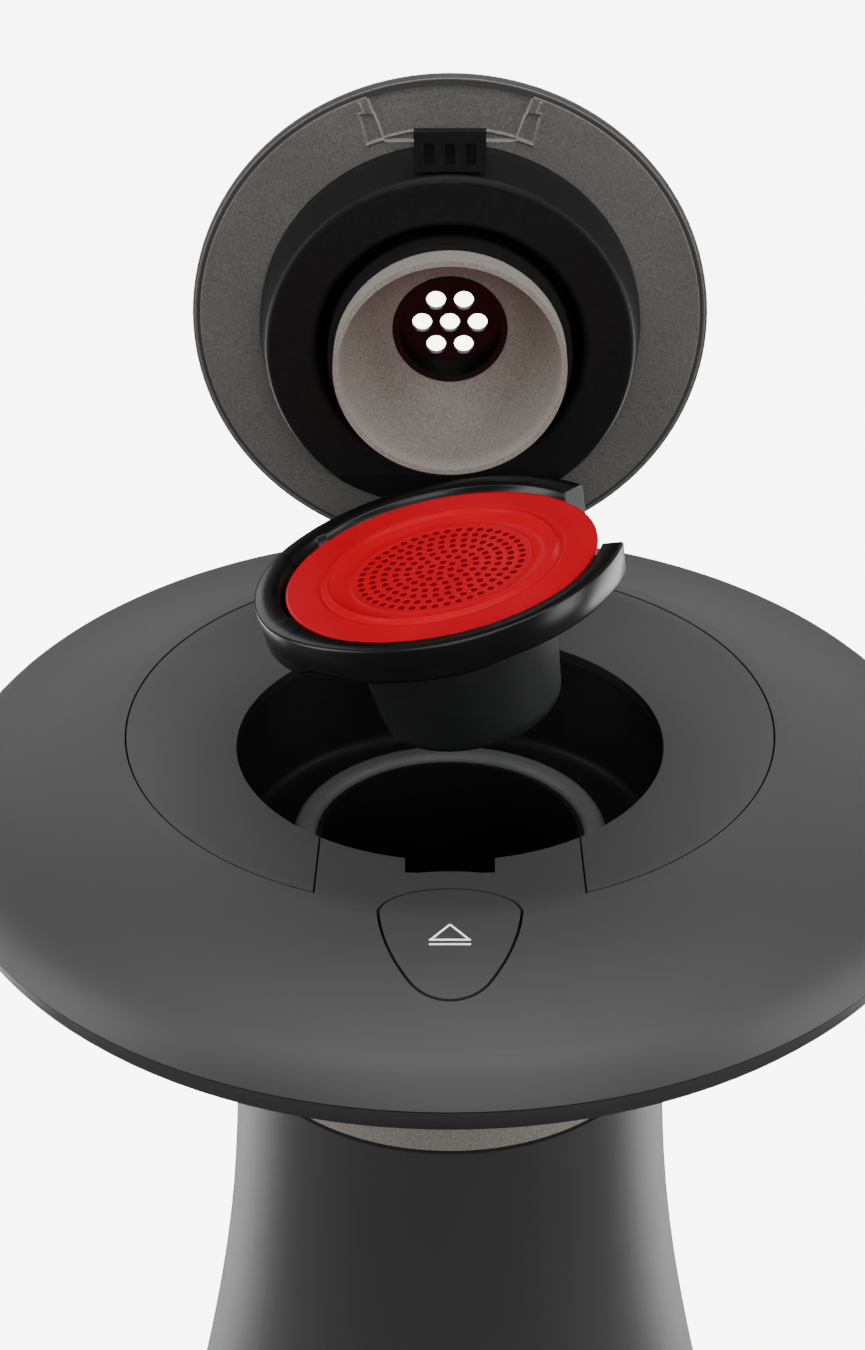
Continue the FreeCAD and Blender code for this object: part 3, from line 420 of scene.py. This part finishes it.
# ------------------------------------------------------------------ lid: inner panel
# A warm-grey metallic plate closes the lid's underside. A stepped recess with thin raised
# lips runs from the rim down to the latch hook, and a narrow bead follows the rim.
warm = Finish("warm_grey_coat", (0.178, 0.175, 0.168), 0.45, Metallic=0.4)
fleck = warm.noise(2000, 2, 0.7)
drift = warm.noise(30, 2)
warm.tint(fleck * 0.8 + drift * 0.2, 0.15, 1.9)
warm.feed("Roughness", 0.36 + fleck * 0.2)
warm.bump(fleck, 0.00006, 0.35)
coat_node("lid_inner_panel", warm)

hinge = next(j for j in frame["joints"] if j["name"] == "lid_hinge")
pivot = Vector(hinge["pos_m"]) / MM
open_turn = math.radians(hinge["range_deg"][1])
lid_open = Matrix.Translation(pivot) @ Matrix.Rotation(-open_turn, 4, "X") @ Matrix.Translation(-pivot)
rim_z = 291.0
plate_in, plate_out = 41.9, 56.9


def edge_step(distance, soft):
    """Goes from 0 to 1 across a soft edge around zero distance."""
    t = np.clip(distance / soft + 0.5, 0, 1)
    return t * t * (3 - 2 * t)


recess_turn = 0.62
near = np.linspace(-recess_turn, recess_turn, 500)
rest = np.linspace(recess_turn, 2 * math.pi - recess_turn, 260)[1:-1]
around = np.concatenate([near, rest]) - math.pi / 2
across = np.linspace(plate_in, plate_out, 110)
A, R = np.meshgrid(around, across, indexing="ij")
X, Y = R * np.cos(A), R * np.sin(A)
side = np.abs(X)
front = Y < 0
deep = -Y                                        # distance out from the hinge's side
narrow_half = 14.2 + (deep - 43.0) * 0.36        # the slanting inner sides of the recess
pocket_end, pocket_in, shoulder, soft = 48.4, 45.2, 2.2, 0.35
inner_recess = (edge_step(narrow_half - side, soft) * edge_step(deep - 42.6, soft)
                * edge_step(55.2 - R, soft))
pocket_half = 17.9 + (deep - 42.5) * 0.24
side_pocket = (edge_step(pocket_half - side, soft) * edge_step(pocket_end - deep, soft)
               * edge_step(R - pocket_in - 0.2, soft))
wide_half = np.where(deep < pocket_end, pocket_half, narrow_half + shoulder)


def ridge(distance, width=0.3):
    """A thin raised line along zero distance, as a bell curve."""
    return np.exp(-(distance / width) ** 2)


lip = (ridge(narrow_half - side) * (deep > 42.4) * (deep < pocket_end + 0.2)
       + ridge(wide_half - side) * (R > pocket_in) * (R < 54.6)
       + ridge(R - pocket_in) * (side < pocket_half) * (side > 6.6)
       + ridge(deep - pocket_end) * (side < pocket_half) * (side > narrow_half + shoulder))
recess_drop, pocket_drop, lip_rise, bead_rise = 0.7, 0.45, 0.3, 0.3
relief = (inner_recess * recess_drop + side_pocket * (1 - inner_recess) * pocket_drop
          - np.clip(lip, 0, 1) * lip_rise) * front
bead = ridge(R - 55.6, 0.35) * bead_rise
Z = rim_z - 0.12 + relief + bead + 0.5 * edge_step(R - 56.6, 0.7)
plate = np.stack([X, Y, Z], -1)
back_of_plate = rim_z + 1.75
back = np.stack([X, Y, np.full_like(Z, back_of_plate)], -1)
shell = np.concatenate([plate, back[:, [-1, 0]]], 1)
inner_plate = grid_piece("lid_underside_plate", moved(shell, lid_open), True, True, warm, "lid",
                         flip=True)
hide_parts("lid_inner_panel")

# ------------------------------------------------------------------ eject symbol
# The open-triangle-and-bar sign is pad-printed white on the button, a few hundredths of
# a millimetre thick, and follows the button's curve.
# The ink also glows faintly by emission: painted light that keeps the printed sign bright.
ink_with_painted_glow = Finish("white_ink_with_painted_glow", (0.86, 0.86, 0.85), 0.5, Emission_Color=(1, 1, 1, 1), Emission_Strength=0.9)
ink_with_painted_glow.tint(ink_with_painted_glow.noise(4000, 1), 0.94, 1.0)
crest_mm = crest / MM
crest_rad, mouth_rad, mouth_drop, dome_arc = 70.0, 46.3, 5.2, 84.0
dome_rad, dome_drop = 103.1, 9.2


def head_height(r):
    """Height of the head's top: a straight dish inside the crest and one arc outside."""
    start = np.array((crest_rad + 3, -0.25))
    chord = np.array((dome_rad, -dome_drop)) - start
    length = np.linalg.norm(chord)
    normal = np.array((chord[1], -chord[0])) / length
    centre = start + chord / 2 + normal * math.sqrt(dome_arc ** 2 - length ** 2 / 4)
    arc = centre[1] + np.sqrt(dome_arc ** 2 - (r - centre[0]) ** 2)
    dish = -mouth_drop * (crest_rad - r) / (crest_rad - mouth_rad)
    return crest_mm + np.where(r < crest_rad, dish, arc)


def stroke(start, end, width, parts=14):
    """A flat ribbon between two plan points, as top and bottom rows that follow the head."""
    start, end = np.array(start, float), np.array(end, float)
    along = (end - start) / np.linalg.norm(end - start)
    across = np.array((-along[1], along[0])) * width / 2
    t = np.linspace(0, 1, parts)[:, None]
    line = start + (end - start) * t
    rows = []
    buried, raised = -0.1, 0.06
    for offset, lift in ((-1, buried), (-1, raised), (1, raised), (1, buried)):
        flat = line + across * offset
        rows.append(np.column_stack([flat, head_height(np.hypot(flat[:, 0], flat[:, 1])) + lift]))
    ribbon = np.stack(rows, 1)
    tips = ribbon[[0, -1]].mean(1, keepdims=True).repeat(len(rows), 1)
    return np.concatenate([tips[:1], ribbon, tips[1:]], 0)


apex, base_y, bar_y, half_wide, line_wide = -74.9, -79.0, -80.15, 3.7, 0.36
bar_half = half_wide + 0.3
lines = [((-half_wide, base_y), (0, apex)), ((0, apex), (half_wide, base_y)),
         ((-bar_half, base_y), (bar_half, base_y)), ((-bar_half, bar_y), (bar_half, bar_y))]
for number, (start, end) in enumerate(lines):
    ribbon = stroke(start, end, line_wide)
    grid_piece("eject_sign_%d" % number, ribbon * MM, False, True, ink_with_painted_glow, "button", flip=True)

# ------------------------------------------------------------------ button spring
# A coil of spring wire stands under the button and pushes it up. It is the CAD coil's own shape, kept rigid on
# the root body.
foot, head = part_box("button_spring")
press = next(j for j in frame["joints"] if j["name"] == "eject_press")
coil_mesh = NODES["button_spring"].data.copy()
weld_doubles(coil_mesh, 1e-7)
coil = bpy.data.objects.new("button_coil", coil_mesh)
bpy.context.scene.collection.objects.link(coil)
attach(coil, "root")
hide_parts("button_spring")
coil_height = head[2] - foot[2]
1 - press["range_m"][1] / coil_height
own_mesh(coil)

# ------------------------------------------------------------------ pod holder
# A glossy black ring carries the pod by its flange. It is moulded open on the right, with a
# deep lug on the left, and its skirt steps up between them.
seat = next(j for j in frame["joints"] if j["name"] == "holder_seat")
pole = Vector(seat["pos_m"]) / MM
lift_turn = Matrix.Rotation(-math.radians(seat["range_deg"][1]), 4, Vector(seat["axis"]))
lifted = Matrix.Translation(pole) @ lift_turn @ Matrix.Translation(-pole)
seat_z = 267.2
gap_from, gap_to = math.radians(-10), math.radians(39)
turn = np.linspace(gap_to, 2 * math.pi + gap_from, 420)
skirt = np.degrees(turn)


def bump_between(angle, low, high, soft):
    """One on a stretch of the ring and zero outside it, with eased ends."""
    return edge_step(angle - low, soft) * edge_step(high - angle, soft)


depth = 7.2 + 1.6 * bump_between(skirt, 194, 221, 9) + 0.8 * bump_between(skirt, 236, 285, 14)
depth = depth - 1.2 * bump_between(skirt, 60, 180, 12)
outer = 39.2 - 1.1 * bump_between(skirt, 225, 345, 40) + 0.3 * bump_between(skirt, 150, 215, 20)
inner = 34.2 + 0.9 * bump_between(skirt, 140, 160, 4) - 0.6 * bump_between(skirt, 205, 216, 3)
top = seat_z + 0.7 + 0 * turn
section = []
for r, z in ((inner, top - 0.35), (inner + 0.35, top), (outer - 0.5, top), (outer - 0.15, top - 0.12),
             (outer, top - 0.5), (outer - 0.5, top - depth + 0.8), (outer - 0.8, top - depth + 0.25),
             (outer - 1.4, top - depth), (inner + 1.6, top - depth), (inner + 1.3, top - depth + 0.4),
             (inner + 1.2, top - 3.5), (25 + 0 * turn, top - 3.5), (25 + 0 * turn, top - 2.5),
             (inner, top - 2.5)):
    section.append(np.stack([r * np.cos(turn), r * np.sin(turn), z], -1))
ring = np.stack(section, 1)
hub = ring.mean(1, keepdims=True)
near_end = [hub[:1] + (ring[:1] - hub[:1]) * share for share in (0, 0.98)]
far_end = [hub[-1:] + (ring[-1:] - hub[-1:]) * share for share in (0.98, 0)]
ring = np.concatenate([*near_end, ring, *far_end], 0)
holder = grid_piece("pod_holder_ring", moved(ring, lifted), False, True, gloss, "holder")
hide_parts("pod_holder")

# ------------------------------------------------------------------ pod cup
# A thin thermoformed cup, satin black, that tapers to a rounded foot under its flange.
pod_black = Finish("pod_plastic", (0.014, 0.0145, 0.015), 0.36, Specular_IOR_Level=0.45)
draw = pod_black.noise(40, 3, 0.5, pod_black.stretched(1, 1, 4))
pod_black.tint(draw, 0.8, 1.35)
pod_black.feed("Roughness", 0.3 + draw * 0.14)
film_z = seat_z - 0.3
cup_outline = rounded([(0, film_z - 35.7, 0), (18.9, film_z - 35.7, 4.5), (23.4, film_z - 1.4, 1.2),
                       (32.8, film_z - 1.4, 0.3), (32.8, film_z - 0.7, 0.3), (22.6, film_z - 0.7, 1),
                       (18.2, film_z - 34.9, 4), (0, film_z - 34.9, 0)])
cup = grid_piece("pod_cup_wall", moved(turned_points(cup_outline, 192), lifted), True, False, pod_black, "pod")
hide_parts("pod_cup")

# ------------------------------------------------------------------ pod film
# The red lid film is pressed with a raised ring, a trough inside it and a flat field of
# small holes on concentric circles.
red = Finish("red_film", (0.55, 0.0, 0.012), 0.2, Specular_IOR_Level=0.04)
ripple = red.noise(55, 2)
red.tint(ripple, 0.88, 1.08)
red.feed("Roughness", 0.17 + ripple * 0.1)
red.bump(ripple, 0.00012, 0.5)
field, pitch, hole = 18.2, 2.45, 0.56
field_drop = 0.9
film_r = np.concatenate([[field], np.linspace(field + 0.2, 20, 8), np.linspace(20.4, 27, 40),
                         np.linspace(27.5, 32.9, 10)])
film_h = (-field_drop + field_drop * edge_step(film_r - 22.6, 3.4) + 0.65 * ridge(film_r - 24.1, 0.5)
          - 0.35 * ridge(film_r - 25.4, 0.5) + 0.2 * ridge(film_r - 19.0, 0.5))
film_top = np.column_stack([film_r, film_z + film_h])
film_edge = np.array([(33.0, film_z - 0.1), (33.0, film_z - 0.55), (30.0, film_z - 0.62)])
film_under = np.column_stack([film_r[::-1][4:], film_z + film_h[::-1][4:] - 0.55])
film = grid_piece("pod_film", moved(turned_points(np.vstack([film_top, film_edge, film_under]), 240), lifted),
                  True, True, red, "pod", flip=True)
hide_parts("pod_lid")

# Each hole is a cell of a ring band: its border runs round the cell, the next row is the
# hole's edge, and the last rows are the wall and floor of the pressed hole.
side_steps = 6
s = np.linspace(-1, 1, side_steps, endpoint=False)
one = np.ones(side_steps)
border = np.concatenate([np.column_stack(edge) for edge in ((s, -one), (one, s), (-s, one), (-one, -s))])
way = np.arctan2(border[:, 1], border[:, 0])
field_z = film_z - field_drop + 0.02
cells = []
bands = int(field / pitch)
for band in range(bands + 1):
    middle_r = band * pitch
    holes = max(1, round(2 * math.pi * middle_r / pitch))
    half_turn = math.pi / holes
    low_r = max(middle_r - pitch / 2, 0)
    high_r = middle_r + pitch / 2 if band < bands else field + 0.1
    for k in range(holes):
        cell_turn = 2 * half_turn * k + band * 0.4
        if band == 0:
            rim = np.column_stack([np.cos(way), np.sin(way)]) * high_r
            centre = np.zeros(2)
        else:
            r = np.where(border[:, 1] < 0, middle_r + border[:, 1] * (middle_r - low_r),
                         middle_r + border[:, 1] * (high_r - middle_r))
            angle = cell_turn - border[:, 0] * half_turn
            rim = np.column_stack([r * np.cos(angle), r * np.sin(angle)])
            centre = middle_r * np.array((math.cos(cell_turn), math.sin(cell_turn)))
        bearing = np.arctan2(rim[:, 1] - centre[1], rim[:, 0] - centre[0])
        ray = np.column_stack([np.cos(bearing), np.sin(bearing)])
        rows = [np.column_stack([rim, np.full(len(rim), field_z)])]
        for radius, drop in ((hole + 0.12, 0), (hole, 0.08), (hole - 0.04, 0.45), (0, 0.47)):
            rows.append(np.column_stack([centre + ray * radius, np.full(len(rim), field_z - drop)]))
        cells.append(np.stack(rows, 0))
cells = np.stack(cells)
count, depth_rows, ring_len = cells.shape[:3]
base = (np.arange(count) * depth_rows * ring_len)[:, None, None]
i, j = np.meshgrid(np.arange(depth_rows - 1), np.arange(ring_len), indexing="ij")
k = (j + 1) % ring_len
quads = np.stack([i * ring_len + j, i * ring_len + k,
                  (i + 1) * ring_len + k, (i + 1) * ring_len + j], -1)
quads = (quads.reshape(1, -1, 4) + base).reshape(-1, 4)
# A rim and a flat underside close the pressed sheet.
sheet_edge, sheet_foot = field + 0.1, field_z - 0.6
underside = turned_points(np.array([(sheet_edge, field_z), (sheet_edge, sheet_foot), (0, sheet_foot)]), 240)
pressed = cells.reshape(-1, 3)
under_quads = grid_quads(*underside.shape[:2], True, False) + len(pressed)
sheet_points = np.concatenate([pressed, underside.reshape(-1, 3)])
# Painted shade: the walls and floors of the holes get a darker red finish, standing in for the shade inside
# the small pressed holes.
hole_painted_shade = Finish("pressed_hole_painted_shade", (0.15, 0.0, 0.003), 0.7, Specular_IOR_Level=0.05)
hole_painted_shade.tint(hole_painted_shade.noise(900, 2), 0.7, 1.3)
perforated = mesh_piece("pod_film_holes", moved(sheet_points, lifted),
                        np.concatenate([quads, under_quads]), red, "pod", weld=0)
perforated.data.materials.append(hole_painted_shade.material)
painted_shade_faces = (i >= 1).reshape(-1).astype(int)
painted_shade_faces = np.concatenate([np.tile(painted_shade_faces, count), np.zeros(len(under_quads), int)])
perforated.data.polygons.foreach_set("material_index", painted_shade_faces)
